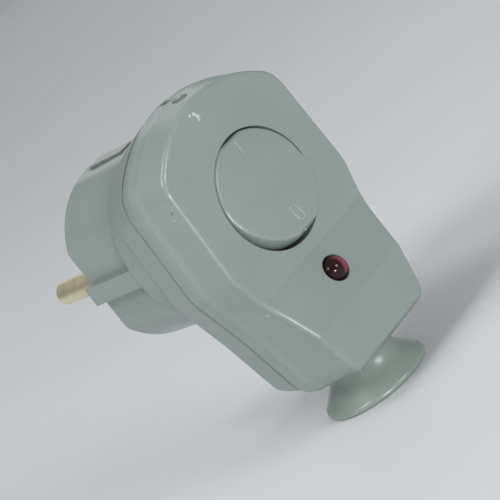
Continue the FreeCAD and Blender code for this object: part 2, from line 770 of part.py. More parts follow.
def rocker_button():
    """Make the rocker: a dished round cap with a skirt, two plunger sockets and two axle stubs."""
    disc = rod_y("rocker_radius", "0", "0", "rocker_pivot - skirt_drop", "rocker_pivot + 2 * rocker_rise")
    roll = rod_x("rocker_roll", ("-2 * rocker_radius", "2 * rocker_radius"), "rocker_pivot", "0")
    top = "rocker_pivot + rocker_rise"
    dish = prism([
        (f"{top} - rocker_dish", "0"), (top, "rocker_roll"), (f"{top} + rocker_roll", "rocker_roll"),
        (f"{top} + rocker_roll", "-rocker_roll"), (top, "-rocker_roll")], "2 * rocker_radius")
    inside = rod_y("rocker_radius - rocker_skirt", "0", "0", "rocker_pivot - 2 * skirt_drop", CAP_UNDERSIDE)
    # both ends of the travel stay inside the round hole
    swept = [swing(rod_y("rocker_hole - rocker_gap", "0", "0", "0", "2 * rocker_pivot"), angle)
             for angle in ("rocker_tilt", "-rocker_tilt")]
    shell = cut(common(common(common(disc, roll), swept[0]), swept[1]), dish, inside)
    sockets = []
    bores = []
    stubs = []
    for sign in SIGNS:
        middle = f"{sign}pole_offset"
        sockets.append(rod_y("plunger_radius + seat_gap + socket_wall", middle, "0", SOCKET_MOUTH,
                             f"{CAP_UNDERSIDE} + rocker_skirt / 2"))
        bores.append(rod_y("plunger_radius + seat_gap", middle, "0", f"{SOCKET_MOUTH} - spare", SOCKET_END))
        stub = ["rocker_radius - rocker_skirt", f"{FRAME_OUTER} - 3 * seat_gap"]
        if sign:
            stub = [f"-({edge})" for edge in reversed(stub)]
        stubs.append(rod_x("axle_radius", stub, "rocker_pivot", "0"))
    button = cut(fuse(shell, *sockets, *stubs), *bores)
    return tilt(button, "rocker_pivot", "-rocker_tilt")


def rocker_plunger(sign):
    """Make a plunger with a round tip that slides in the rocker's socket."""
    middle = f"{sign}pole_offset"
    tip = f"{PLUNGER_TIP} + plunger_radius"
    shank = rod_y("plunger_radius", middle, "0", tip, PLUNGER_END)
    return tilt(fuse(shank, ball("plunger_radius", middle, tip, "0")), "rocker_pivot", "-rocker_tilt")


def plunger_spring(sign):
    """Make the spring behind a plunger as a plain sleeve."""
    middle = f"{sign}pole_offset"
    back = f"{PLUNGER_END} + spring_gap"
    outer = rod_y("plunger_radius - seat_gap", middle, "0", back, SOCKET_END)
    inner = rod_y("plunger_radius - seat_gap - spring_wire", middle, "0",
                  f"{back} - spare", f"{SOCKET_END} + spare")
    return tilt(cut(outer, inner), "rocker_pivot", "-rocker_tilt")


def contact_bridge(sign):
    """Make the tilting contact strip that rides on the fulcrum."""
    middle = f"{sign}pole_offset"
    strip = box((f"{middle} - bridge_width / 2", f"{middle} + bridge_width / 2"),
                (f"{FULCRUM} + bridge_lift", f"{FULCRUM} + bridge_lift + bridge_thick"),
                ("-bridge_half", "bridge_half"))
    front = f"{FULCRUM} + bridge_lift + bridge_thick"
    rivet = rod_y("pad_radius", middle, "-pad_place",
                  f"{front} - bridge_thick / 2", f"{front} + bridge_thick / 4")
    return tilt(fuse(strip, rivet), FULCRUM, "bridge_tilt")


def fulcrum_terminal(sign):
    """Make the round-topped post under the bridge, with the tail that goes through the frame."""
    middle = f"{sign}pole_offset"
    across = (f"{middle} - fulcrum_width / 2", f"{middle} + fulcrum_width / 2")
    post = box(across, (FRAME_TOP, FULCRUM), ("-fulcrum_round", "fulcrum_round"))
    crown = rod_x("fulcrum_round", across, FULCRUM, "0")
    base = box(across, (FRAME_TOP, f"{FRAME_TOP} + tail_thick / 2"), ("-tail_width / 2", "tail_width / 2"))
    tail = box((f"{middle} - tail_thick / 2", f"{middle} + tail_thick / 2"),
               (LINK_FRONT, f"{FRAME_TOP} + tail_thick / 4"), ("-tail_width / 2", "tail_width / 2"))
    return fuse(post, crown, base, tail)


def output_contact(sign):
    """Make the fixed contact: a pad and a strip that runs down to the cord terminal."""
    middle = f"{sign}pole_offset"
    layer = (FRAME_TOP, f"{FRAME_TOP} + strip_thick")
    strip = box((f"{middle} - strip_width / 2", f"{middle} + strip_width / 2"), layer,
                ("-terminal_top", "strip_width / 2 - pad_place"))
    foot = [f"{sign}(pole_offset - strip_width / 2)", f"{sign}(terminal_place + strip_width / 2)"]
    if sign:
        foot.reverse()
    plate = box(foot, layer, ("-terminal_top", "strip_width - terminal_top"))
    pad = rod_y("pad_radius", middle, "-pad_place", f"{FRAME_TOP} + strip_thick / 2",
                f"{FRAME_TOP} + strip_thick + pad_height")
    return fuse(strip, plate, pad)


# metal parts behind the pins

def contact_pin(sign):
    """Make a round contact pin with its rounded tip, thicker root, flange and tail."""
    middle = f"{sign}pin_pitch / 2"
    seat = "engagement_wall + carrier_thick"
    shaft = rod_y("pin_radius", middle, "0", "pin_tip_round - pin_reach", "engagement_wall")
    root = rod_y("pin_root_radius", middle, "0", "0", f"{seat} + pin_flange_thick / 2")
    tip_ring = ring_y("pin_radius - pin_tip_round", "pin_tip_round", middle, "0",
                      "pin_tip_round - pin_reach")
    tip_core = rod_y("pin_radius - pin_tip_round", middle, "0", "-pin_reach", "0")
    flange = rod_y("pin_flange_radius", middle, "0", seat, f"{seat} + pin_flange_thick")
    tail = rod_y("pin_tail_radius", middle, "0", seat, f"{LINK_FRONT} + 4 * seat_gap")
    return fuse(shaft, root, tip_ring, tip_core, flange, tail)


def pin_carrier():
    """Make the insulating plate that holds both pins and the earth sleeve."""
    seat = "engagement_wall + carrier_thick"
    plate = hollow_disc("seat_gap", "engagement_wall", seat)
    holes = [rod_y("pin_root_radius + thin_gap", f"{sign}pin_pitch / 2", "0", "0", f"{seat} + spare")
             for sign in SIGNS]
    holes.append(rod_y(f"{SLEEVE_OUTER} + thin_gap", "0", "sleeve_place", "0", f"{seat} + spare"))
    return cut(plate, *holes)


def pin_link(sign):
    """Make the flat link from a pin's tail to the foot of the fulcrum's tail."""
    ends = [f"{sign}(pole_offset - tail_thick - seat_gap)", f"{sign}(pin_pitch / 2 + link_width / 2)"]
    if sign:
        ends.reverse()
    plate = box(ends, ("link_depth", LINK_FRONT), ("-link_width / 2", "link_width / 2"))
    hole = rod_y("pin_tail_radius + thin_gap", f"{sign}pin_pitch / 2", "0", "link_depth - spare",
                 f"{LINK_FRONT} + spare")
    return cut(plate, hole)


def earth_sleeve():
    """Make the sleeve that takes a socket's earth pin."""
    outer = rod_y(SLEEVE_OUTER, "0", "sleeve_place", "seat_gap", "earth_depth")
    return cut(outer, rod_y("sleeve_bore", "0", "sleeve_place", "-spare", "earth_depth + spare"))


def earth_bridge():
    """Make the earth plate between both clips, with its riser and foot to the earth terminal."""
    across = ("-earth_width / 2", "earth_width / 2")
    low = "-riser_place"
    plate = box(across, ("earth_depth", EARTH_FRONT), (low, "riser_place"))
    top = f"{FRAME_TOP} + earth_thick"
    riser = box(across, ("earth_depth", top), (low, "earth_thick - riser_place"))
    foot = box(across, (FRAME_TOP, top), ("-terminal_top", "earth_thick - riser_place"))
    return fuse(plate, riser, foot)


def earth_clip(top):
    """Make a springy earth clip: a leaf along the round part and a leg on the earth bridge."""
    across = ("-clip_width / 2", "clip_width / 2")
    leaf = ("clip_top - clip_thick", "clip_top")
    leg = ("clip_foot", "clip_top")
    if not top:
        leaf = [f"-({edge})" for edge in reversed(leaf)]
        leg = [f"-({edge})" for edge in reversed(leg)]
    return fuse(box(across, ("clip_tip", "earth_depth"), leaf),
                box(across, ("earth_depth - clip_thick", "earth_depth"), leg))


# cord terminals and clamp

def cord_terminal(x):
    """Make a terminal block with its wire bore and its screw bore."""
    block = box((f"({x}) - terminal_width / 2", f"({x}) + terminal_width / 2"), (FLOOR, TERMINAL_FRONT),
                ("-terminal_top - terminal_length", "-terminal_top"))
    wire = rod_z("wire_bore", x, f"{FLOOR} + terminal_height / 2",
                 ("-terminal_top - terminal_length - spare", "-terminal_top - wire_bore"))
    screw = rod_y("screw_radius + thin_gap", x, f"-({TERMINAL_SCREW})", f"{FLOOR} + terminal_height / 2",
                  f"{TERMINAL_FRONT} + spare")
    return cut(block, wire, screw)


def terminal_screws():
    """Make the three terminal screws."""
    places = ("-terminal_place", "0", "terminal_place")
    back = f"{FLOOR} + terminal_height / 2 + wire_bore / 2"
    return fuse(*[slotted_screw(x, f"-({TERMINAL_SCREW})", back, TERMINAL_FRONT) for x in places])


def cord_clamp_bar():
    """Make the bar that presses the cord onto the saddle."""
    half = "clamp_post + clamp_post_radius"
    front = "clamp_depth + clamp_thick"
    bar = box((f"-({half})", half), ("clamp_depth", front),
              ("-clamp_place - clamp_width / 2", "clamp_width / 2 - clamp_place"))
    holes = [rod_y("screw_radius + seat_gap", f"{sign}clamp_post", "-clamp_place",
                   "clamp_depth - spare", f"{front} + spare") for sign in SIGNS]
    groove = rod_z("guard_bore", "0", "guard_depth",
                   ("-clamp_place - clamp_width", "clamp_width - clamp_place"))
    return cut(bar, groove, *holes)


def clamp_screws():
    """Make the two screws of the cord clamp."""
    seat = "clamp_depth + clamp_thick"
    return fuse(*[slotted_screw(f"{sign}clamp_post", "-clamp_place", "guard_depth - clamp_saddle / 2", seat)
                  for sign in SIGNS])


def cover_screws():
    """Make the two screws that go from the back of the rear shell into the cover's posts."""
    screws = []
    seat = "back_depth + cover_screw_sink"
    head = f"{seat} - screw_head_thick"
    for sign in SIGNS:
        place = (f"{sign}cover_screw_place", "-cover_screw_drop")
        shank = rod_y("screw_radius", *place, head, f"{FLOOR} + cover_screw_length - wall / 2")
        disc = rod_y("screw_head", *place, head, seat)
        slot = box([f"{place[0]} - 2 * screw_head", f"{place[0]} + 2 * screw_head"],
                   (f"{head} - spare", f"{head} + screw_slot"),
                   (f"{place[1]} - screw_slot / 2", f"{place[1]} + screw_slot / 2"))
        screws.append(cut(fuse(shank, disc), slot))
    return fuse(*screws)


def bend_protector():
    """Make the flared guard: inner flange, groove in the wall, neck, trumpet rim and funnel mouth."""
    body = doc.addObject("PartDesign::Body", "guard_body")
    profile = body_sketch(body, "XZ_Plane", "guard_depth")
    neck_top = "-foot_drop - thin_gap"
    draw(profile, [
        ("guard_bore", "guard_flange_thick - guard_seat", None),
        ("guard_bore", "-guard_throat_drop", "guard_bore"),
        ("guard_mouth", "-guard_end", "guard_rim_round / 2"),
        ("guard_rim", "-guard_end", "guard_rim_round"),
        ("guard_rim", "-guard_rim_drop", "guard_brim_round"),
        ("guard_neck", "-guard_bend_drop", "guard_bend_round"),
        ("guard_neck", neck_top, None),
        ("guard_groove", neck_top, None),
        ("guard_groove", "-guard_seat", None),
        ("guard_flange", "-guard_seat", None),
        ("guard_flange", "guard_flange_thick - guard_seat", None)])
    turn = body.newObject("PartDesign::Revolution", "turn")
    turn.Profile = profile
    turn.ReferenceAxis = (profile, ["V_Axis"])
    turn.Angle = 360
    return body


# neon indicator

def indicator_lens():
    """Make the lens, sunk a little below the ramp."""
    return tilted_rod("lens_hole - thin_gap", "-lens_sunk - lens_length", "-lens_sunk")


def neon_lamp():
    """Make the neon lamp behind the lens, with a rounded end."""
    start = "-lens_sunk - lens_length - neon_length"
    tube = tilted_rod("neon_radius", f"{start} + neon_radius / 4", "-lens_sunk - lens_length")
    return fuse(tube, tilted_rod("neon_radius * 3 / 4", start, f"{start} + neon_radius / 2"))


RESISTOR_DEPTH = f"{TERMINAL_FRONT} + resistor_lift"
RESISTOR_HEIGHT = "resistor_radius + resistor_radius / 2 - terminal_top"
RESISTOR_START = "pole_offset - plunger_radius"


def neon_resistor():
    """Make the resistor of the neon lamp."""
    return rod_x("resistor_radius", (RESISTOR_START, f"{RESISTOR_START} + resistor_length"),
                 RESISTOR_DEPTH, RESISTOR_HEIGHT)


def lead(points):
    """Make one wire through points, with round joints."""
    radius = value("lead_radius")
    spots = [Vector(value(x), -value(depth), value(z)) for x, depth, z in points]
    wire = None
    for start, end in zip(spots, spots[1:]):
        piece = Part.makeCylinder(radius, start.distanceToPoint(end), start, end - start)
        wire = wire.fuse(piece) if wire else piece
    for spot in spots[1:-1]:
        wire = wire.fuse(Part.makeSphere(radius, spot))
    return wire


def neon_leads():
    """Make the three wires: terminal to lamp, lamp to resistor, resistor to terminal."""
    base_depth, base_height = over_ramp("-lens_sunk - lens_length - neon_length")
    end_depth, end_height = over_ramp("-lens_sunk - lens_length - neon_length - 2 * lead_radius")
    foot = "neon_radius / 2"
    left_place = "lead_radius - terminal_place + wire_bore"
    left = lead([
        (f"-{foot}", base_depth, base_height), (f"-{foot}", end_depth, end_height),
        ("-pole_offset", f"{TERMINAL_FRONT} + neon_radius / 2", "-terminal_top - wire_bore"),
        (left_place, f"{TERMINAL_FRONT} + lead_radius * 2", "-terminal_top - 4 * lead_radius"),
        (left_place, TERMINAL_FRONT, "-terminal_top - 4 * lead_radius")])
    middle = lead([
        (foot, base_depth, base_height), (foot, end_depth, end_height),
        ("neon_radius + 2 * lead_radius", end_depth, "-terminal_top - wire_bore"),
        ("neon_radius + 2 * lead_radius", RESISTOR_DEPTH, RESISTOR_HEIGHT),
        (RESISTOR_START, RESISTOR_DEPTH, RESISTOR_HEIGHT)])
    resistor_end = f"{RESISTOR_START} + resistor_length"
    right_place = f"{resistor_end} + 2 * lead_radius"
    right = lead([
        (resistor_end, RESISTOR_DEPTH, RESISTOR_HEIGHT),
        (right_place, RESISTOR_DEPTH, RESISTOR_HEIGHT),
        (right_place, f"{TERMINAL_FRONT} - wire_bore", "3 * lead_radius - terminal_top"),
        (right_place, f"{TERMINAL_FRONT} - wire_bore", "-terminal_top")])
    thing = doc.addObject("Part::Feature", "leads")
    thing.Shape = Part.makeCompound([left, middle, right])
    return thing


node("front_cover", front_cover())
node("rear_shell", rear_shell())
node("switch_frame", switch_frame())
node("rocker_button", rocker_button())
for side, sign in zip(("left", "right"), SIGNS):
    node(f"rocker_plunger_{side}", rocker_plunger(sign))
    node(f"plunger_spring_{side}", plunger_spring(sign))
    node(f"contact_bridge_{side}", contact_bridge(sign))
    node(f"fulcrum_terminal_{side}", fulcrum_terminal(sign))
    node(f"output_contact_{side}", output_contact(sign))
    node(f"contact_pin_{side}", contact_pin(sign))
    node(f"pin_link_{side}", pin_link(sign))
    node(f"cord_terminal_{side}", cord_terminal(f"{sign}terminal_place"))
node("earth_terminal", cord_terminal("0"))
node("terminal_screws", terminal_screws())
node("pin_carrier", pin_carrier())
node("earth_sleeve", earth_sleeve())
node("earth_bridge", earth_bridge())
node("earth_clip_top", earth_clip(True))
node("earth_clip_bottom", earth_clip(False))
node("cord_clamp_bar", cord_clamp_bar())
node("clamp_screws", clamp_screws())
node("cover_screws", cover_screws())
node("bend_protector", bend_protector())
node("indicator_lens", indicator_lens())
node("neon_lamp", neon_lamp())
node("neon_resistor", neon_resistor())
node("neon_leads", neon_leads())

doc.recompute()
failed = [thing.Label for thing in doc.Objects if {"Invalid", "Error"} & set(thing.State)]
for thing in NODES:
    if thing.Shape.isNull() or not thing.Shape.isValid():
        failed.append(thing.Label)
if failed:
    raise RuntimeError("not built: " + ", ".join(failed))
os.makedirs("parts", exist_ok=True)
for thing in NODES:
    thing.Shape.exportStep(f"parts/{thing.Label}.step")
    shape = thing.Shape
    print(f"{thing.Label}: {len(shape.Solids)} solid(s), {shape.Volume:.1f} cubic mm")
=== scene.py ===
import json
import math

import bmesh
import bpy
from mathutils import Matrix, Vector
from mathutils.bvhtree import BVHTree


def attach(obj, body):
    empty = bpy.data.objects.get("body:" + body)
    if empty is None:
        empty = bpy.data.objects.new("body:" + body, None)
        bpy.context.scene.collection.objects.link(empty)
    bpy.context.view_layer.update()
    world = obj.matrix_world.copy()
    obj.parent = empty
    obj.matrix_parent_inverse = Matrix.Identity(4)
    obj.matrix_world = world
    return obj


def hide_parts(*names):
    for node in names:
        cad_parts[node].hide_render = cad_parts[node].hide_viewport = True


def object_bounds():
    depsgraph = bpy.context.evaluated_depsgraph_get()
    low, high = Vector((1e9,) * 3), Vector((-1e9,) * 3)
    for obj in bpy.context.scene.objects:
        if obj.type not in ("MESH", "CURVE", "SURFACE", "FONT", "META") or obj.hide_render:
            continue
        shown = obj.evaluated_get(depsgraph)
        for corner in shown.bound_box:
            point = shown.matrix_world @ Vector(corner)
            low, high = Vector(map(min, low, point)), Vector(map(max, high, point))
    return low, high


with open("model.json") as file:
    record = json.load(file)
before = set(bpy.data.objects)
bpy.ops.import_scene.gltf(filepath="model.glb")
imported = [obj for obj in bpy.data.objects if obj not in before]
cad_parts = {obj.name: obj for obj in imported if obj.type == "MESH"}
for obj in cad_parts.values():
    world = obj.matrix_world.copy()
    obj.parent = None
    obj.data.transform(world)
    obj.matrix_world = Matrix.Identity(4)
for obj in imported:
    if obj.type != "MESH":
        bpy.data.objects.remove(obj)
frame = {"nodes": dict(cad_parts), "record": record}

MM = 0.001
NODES = frame["nodes"]
CAD_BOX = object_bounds()

# the marks on the rocker, in the plane of its front, and the nib on its lower edge
ON_MARK_PLACE = Vector((0.8, 0, 9.0)) * MM
ON_MARK_HALF_LENGTH = 1.45 * MM
ON_MARK_RADIUS = 0.2 * MM
OFF_MARK_PLACE = Vector((0.4, 0, -6.8)) * MM
OFF_MARK_HALF_WIDTH = 0.85 * MM
OFF_MARK_STRAIGHT = 0.7 * MM
OFF_MARK_RADIUS = 0.19 * MM
NIB_PLACE = Vector((-1.0, -43.3, -9.95)) * MM
NIB_RADIUS = 0.3 * MM

# the rocker's rim is rounded where it stands in front of this depth and is sharper than this angle;
# a face belongs to the rocker's front if its normal's Y is under the limit
PROUD_DEPTH = -40.2 * MM
RIM_ANGLE = math.radians(30)
RIM_ROUNDING = 0.6 * MM
FRONT_NORMAL_LIMIT = -0.9

# the lens is part of a ball that rises from its hole in the ramp; its seat is the ball's centre
LENS_AXIS = Vector((0, -0.9563, 0.2924))
LENS_MOUTH = Vector((0, -42.22, -19.7)) * MM
LENS_RADIUS = 2.5 * MM
LENS_RISE = 1.6 * MM
LENS_SKIRT = 1.7 * MM
LENS_SEAT = LENS_MOUTH + LENS_AXIS * (LENS_RISE - LENS_RADIUS)

# the lens's painted crescent of light grows towards this side and ends above the rim, which is left dark as
# painted shade
PAINTED_GLOW_SIDE = Vector((0.99, -0.02, -0.1))
PAINTED_GLOW_GROWTH = (-0.1 * MM, 1.0 * MM)
PAINTED_GLOW_ABOVE_RIM = (1.2 * MM, 1.6 * MM)

# the floor is flat to this distance from the middle and curves up beyond it
PAPER_HALF_SIZE = 3.0
PAPER_FLAT_RADIUS = 1.4
PAPER_RISE = 0.7

# the point that the lamps face; each lamp's name, place, width and height in metres, and power in watts
LAMP_AIM = Vector((0, -0.02, -0.005))
LAMPS = (
    ("left_window", (-0.64, 0.02, 0.64), 0.28, 0.28, 2.4),
    ("upper_window", (-0.31, 0.07, 0.84), 0.28, 0.28, 1.7),
    ("front", (0.08, -0.84, 0.33), 0.32, 0.32, 2.3),
    ("low_front", (-0.5, -0.74, -0.01), 0.26, 0.1, 3.6),
    ("back", (0.9, 0.8, 0.75), 0.9, 0.9, 1.6),
)
SKY_STRENGTH = 0.42

# the photograph's camera, rolled to the right
CAMERA_PLACE = Vector((-0.25464, -0.34491, 0.08381))
CAMERA_RIGHT = Vector((0.529, -0.598, -0.602))
CAMERA_UP = Vector((0.593, -0.2475, 0.7665))
CAMERA_LENS = 158.4
CAMERA_SENSOR = 36
CAMERA_NEAR = 0.01

# the mix node's sockets for colours, which share their names with its sockets for numbers
MIX_FIRST, MIX_SECOND, MIX_RESULT = 6, 7, 2


# materials

def colour(hex_text):
    """Turn an sRGB hex colour into linear values."""
    channels = [int(hex_text[place:place + 2], 16) / 255 for place in (1, 3, 5)]
    linear = [part / 12.92 if part <= 0.04045 else ((part + 0.055) / 1.055) ** 2.4 for part in channels]
    return (*linear, 1.0)


def add(tree, kind, inputs=None, **settings):
    """Add one shader node with its settings; each input is a value or another node's output."""
    node = tree.nodes.new(kind)
    for name, setting in settings.items():
        setattr(node, name, setting)
    for name, source in (inputs or {}).items():
        if isinstance(source, bpy.types.NodeSocket):
            tree.links.new(source, node.inputs[name])
        else:
            node.inputs[name].default_value = source
    return node


def new_material(name):
    """Make an empty material and return it with its tree and the object's coordinates."""
    material = bpy.data.materials.new(name)
    material.use_nodes = True
    tree = material.node_tree
    tree.nodes.clear()
    place = add(tree, "ShaderNodeTexCoord").outputs["Object"]
    return material, tree, place


def finish_material(material, tree, inputs):
    """Add the main shader with its inputs and join it to the material's output."""
    shader = add(tree, "ShaderNodeBsdfPrincipled", inputs)
    add(tree, "ShaderNodeOutputMaterial", {"Surface": shader.outputs["BSDF"]})
    return material


def noise(tree, place, size_mm, detail=2.0):
    """Add a noise pattern whose grains are about a size in millimetres."""
    inputs = {"Vector": place, "Scale": 1 / (size_mm * MM), "Detail": detail}
    return add(tree, "ShaderNodeTexNoise", inputs).outputs["Fac"]


def spread(tree, factor, low, high):
    """Map the middle of a noise pattern's values to a range."""
    inputs = {"Value": factor, "From Min": 0.3, "From Max": 0.7, "To Min": low, "To Max": high}
    return add(tree, "ShaderNodeMapRange", inputs).outputs["Result"]


def fade(tree, value, start, end, **settings):
    """Map a value to 0 at the start and 1 at the end."""
    inputs = {"Value": value, "From Min": start, "From Max": end}
    return add(tree, "ShaderNodeMapRange", inputs, **settings).outputs["Result"]


def measure(tree, operation, first, second):
    """Measure one vector against another, which gives a number."""
    inputs = {0: first, 1: second}
    return add(tree, "ShaderNodeVectorMath", inputs, operation=operation).outputs["Value"]


def multiply(tree, first, second):
    """Multiply two numbers."""
    return add(tree, "ShaderNodeMath", {0: first, 1: second}, operation="MULTIPLY").outputs["Value"]


def blend_colours(tree, factor, first, second):
    """Mix two colours or colour outputs by a factor."""
    inputs = {"Factor": factor, MIX_FIRST: first, MIX_SECOND: second}
    return add(tree, "ShaderNodeMix", inputs, data_type="RGBA").outputs[MIX_RESULT]


def clouded(tree, cloud, base, shade):
    """Drift from one colour to another with a noise pattern."""
    return blend_colours(tree, spread(tree, cloud, 0, 1), colour(base), colour(shade))


def worn_and_pit_shade_spots(tree, place, tint, wear_and_pit_shade):
    """Mix small ragged spots into a colour, worn ones and dark ones of painted shade in pits: each has its
    place and radius in mm and its own colour.
    """
    ragged = spread(tree, noise(tree, place, size_mm=0.35), 0.5, 1.4)
    for centre, radius, shade in wear_and_pit_shade:
        away = measure(tree, "DISTANCE", place, tuple(part * MM for part in centre))
        inside = fade(tree, multiply(tree, away, ragged), radius * MM, 0.6 * radius * MM)
        tint = blend_colours(tree, inside, tint, colour(shade))
    return tint


def moulded_abs(name, base, cloudy, dust, roughness=0.22, edge_mm=0.12, wear_and_pit_shade=()):
    """Injection-moulded plastic: half gloss, a faint orange peel, slight clouding and a few light specks."""
    material, tree, place = new_material(name)
    tint = clouded(tree, noise(tree, place, size_mm=14, detail=3), base, cloudy)
    grains = noise(tree, place, size_mm=3.1, detail=3)
    speck_inputs = {"Value": grains, "From Min": 0.76, "From Max": 0.8, "To Max": 0.35}
    specks = add(tree, "ShaderNodeMapRange", speck_inputs).outputs["Result"]
    tint = blend_colours(tree, specks, tint, colour(dust))
    # adds worn spots and dark spots of painted shade in pits
    tint = worn_and_pit_shade_spots(tree, place, tint, wear_and_pit_shade)
    sheen = spread(tree, noise(tree, place, size_mm=5), roughness - 0.03, roughness + 0.05)
    rounded = add(tree, "ShaderNodeBevel", {"Radius": edge_mm * MM}, samples=6).outputs["Normal"]
    peel = {"Height": noise(tree, place, size_mm=0.9), "Strength": 0.05, "Distance": 0.1 * MM,
            "Normal": rounded}
    skin = add(tree, "ShaderNodeBump", peel).outputs["Normal"]
    inputs = {"Base Color": tint, "Roughness": sheen, "IOR": 1.54, "Normal": skin}
    return finish_material(material, tree, inputs)


def turned_brass(name, base, shade, roughness):
    """Turned, stamped or drawn metal: fine tool marks across the piece and a dull, slightly clouded shine."""
    material, tree, place = new_material(name)
    stretch = {"Vector": place, "Scale": (400, 4000, 400)}
    marks = noise(tree, add(tree, "ShaderNodeMapping", stretch).outputs["Vector"], size_mm=1000)
    tint = clouded(tree, noise(tree, place, size_mm=4, detail=3), base, shade)
    sheen = spread(tree, marks, roughness - 0.05, roughness + 0.1)
    bump = {"Height": marks, "Strength": 0.08, "Distance": 0.05 * MM}
    skin = add(tree, "ShaderNodeBump", bump).outputs["Normal"]
    inputs = {"Base Color": tint, "Metallic": 1.0, "Roughness": sheen, "Normal": skin}
    return finish_material(material, tree, inputs)


def plated_steel(name, base, shade, roughness=0.28):
    """Zinc or nickel plating on steel: even, pale and softly cloudy."""
    material, tree, place = new_material(name)
    tint = clouded(tree, noise(tree, place, size_mm=1.5, detail=3), base, shade)
    sheen = spread(tree, noise(tree, place, size_mm=0.6), roughness - 0.05, roughness + 0.08)
    return finish_material(material, tree, {"Base Color": tint, "Metallic": 1.0, "Roughness": sheen})


def pressed_thermoset(name, base, shade):
    """Pressed ivory thermoset or a resistor's lacquer: matt, with a fine grain."""
    material, tree, place = new_material(name)
    tint = clouded(tree, noise(tree, place, size_mm=6, detail=3), base, shade)
    grain = {"Height": noise(tree, place, size_mm=0.4), "Strength": 0.1, "Distance": 0.05 * MM}
    skin = add(tree, "ShaderNodeBump", grain).outputs["Normal"]
    inputs = {"Base Color": tint, "Roughness": 0.55, "IOR": 1.5, "Normal": skin}
    return finish_material(material, tree, inputs)


def red_dome_painted_glow(name, centre, axis):
    """Clear red dome drawn opaque: painted shade makes it near black in its depth and at its rim, and painted
    light gives it a bright crescent on one side.
    """
    material, tree, place = new_material(name)
    shifted = {"Vector": place, "Location": tuple(-part for part in centre)}
    local = add(tree, "ShaderNodeMapping", shifted).outputs["Vector"]
    side = measure(tree, "DOT_PRODUCT", local, tuple(PAINTED_GLOW_SIDE))
    rise = measure(tree, "DOT_PRODUCT", local, tuple(axis))
    # painted light makes a crescent towards a fixed side, and painted shade darkens the rim
    painted_glow = fade(tree, side, *PAINTED_GLOW_GROWTH, interpolation_type="SMOOTHSTEP")
    clear_of_painted_rim_shade = fade(tree, rise, *PAINTED_GLOW_ABOVE_RIM, interpolation_type="SMOOTHSTEP")
    cloud = noise(tree, place, size_mm=1.2)
    # a near black colour of painted shade and a red one of painted light
    painted_shade_depths = clouded(tree, cloud, "#1C0A0B", "#2E1012")
    painted_lit_crescent = clouded(tree, cloud, "#8A1F33", "#A02C42")
    tint = blend_colours(tree, multiply(tree, painted_glow, clear_of_painted_rim_shade), painted_shade_depths, painted_lit_crescent)
    inputs = {"Base Color": tint, "Roughness": 0.05, "IOR": 1.585, "Specular IOR Level": 0.27}
    return finish_material(material, tree, inputs)


def lamp_glass(name):
    """Thin clear glass of a neon lamp: it shows only by its reflections and a warm tint."""
    material, tree, place = new_material(name)
    sheen = spread(tree, noise(tree, place, size_mm=2), 0.02, 0.06)
    inputs = {"Base Color": colour("#E8DCCB"), "Roughness": sheen, "IOR": 1.5, "Transmission Weight": 0.85}
    return finish_material(material, tree, inputs)


def pale_paper(name):
    """Pale background paper: matt and almost even."""
    material, tree, place = new_material(name)
    tint = blend_colours(tree, noise(tree, place, size_mm=40), colour("#DCDEE0"), colour("#E2E4E6"))
    return finish_material(material, tree, {"Base Color": tint, "Roughness": 0.9, "Specular IOR Level": 0.1})


# a white scrape near the top of the face, then two dark spots of painted shade in pits and two flakes on the
# left wall
HOUSING_WEAR_AND_PIT_SHADE = (
    ((-4.0, -40.6, 19.9), 0.34, "#C3C9C3"), ((-2.9, -40.6, 19.5), 0.4, "#C9CEC8"),
    ((-2.6, -40.6, 18.8), 0.42, "#C9CEC8"), ((-2.7, -40.6, 18.1), 0.3, "#BDC4BE"),
    ((-19.6, -38.6, 9.2), 0.3, "#66716C"), ((-19.8, -38.1, 7.9), 0.22, "#A9B29F"),
    ((-17.4, -39.3, -16.7), 0.3, "#B4BDB6"), ((-17.9, -39.0, -15.6), 0.24, "#6E7974"),
)
GREY = moulded_abs("grey_green_abs", "#8B9792", "#86928D", "#B4BDB8", wear_and_pit_shade=HOUSING_WEAR_AND_PIT_SHADE)
ROCKER_GREY = moulded_abs("rocker_grey_abs", "#8D9894", "#89948F", "#A9B3AE", edge_mm=0.1)
# the raised marks are the rocker's plastic painted lighter, a painted highlight along their rims
MARK_GREY_PAINTED_LIGHTER = moulded_abs("raised_mark_abs_painted_highlight", "#9AA5A0", "#949F9A", "#B4BDB8", roughness=0.24, edge_mm=0.05)
GUARD_GREY = moulded_abs("guard_soft_pvc", "#8E9A92", "#87938B", "#A5B0A8", edge_mm=0.2)
# the lens's colour is painted shade with a painted crescent of light
RED_PAINTED_GLOW = red_dome_painted_glow("red_dome_painted_glow", LENS_SEAT, LENS_AXIS)

SLOT_MATERIALS = {
    "housing": GREY,
    "rocker": ROCKER_GREY,
    "guard": GUARD_GREY,
    "inner_plastic": pressed_thermoset("ivory_thermoset", "#D9D2BE", "#CFC7B0"),
    "red_lens": RED_PAINTED_GLOW,
    "lamp_glass": lamp_glass("lamp_glass"),
    "resistor": pressed_thermoset("resistor_lacquer", "#B8925E", "#A27E4E"),
    "wire": turned_brass("tinned_copper", "#C08A64", "#A8744F", 0.35),
    "brass_plain": turned_brass("stamped_brass", "#C2A35A", "#A98A48", 0.35),
    "pin_brass": turned_brass("pin_brass", "#F0EACB", "#DCD3AC", 0.4),
    "clip_metal": plated_steel("clip_nickel_plate", "#CBCCC5", "#B4B4AA", 0.4),
    "steel": plated_steel("zinc_plated_steel", "#B9BABC", "#A3A4A6"),
}
for subpart in frame["record"]["subparts"]:
    mesh = NODES[subpart["node"]].data
    mesh.materials.clear()
    mesh.materials.append(SLOT_MATERIALS[subpart["material_slot"]])


# pieces

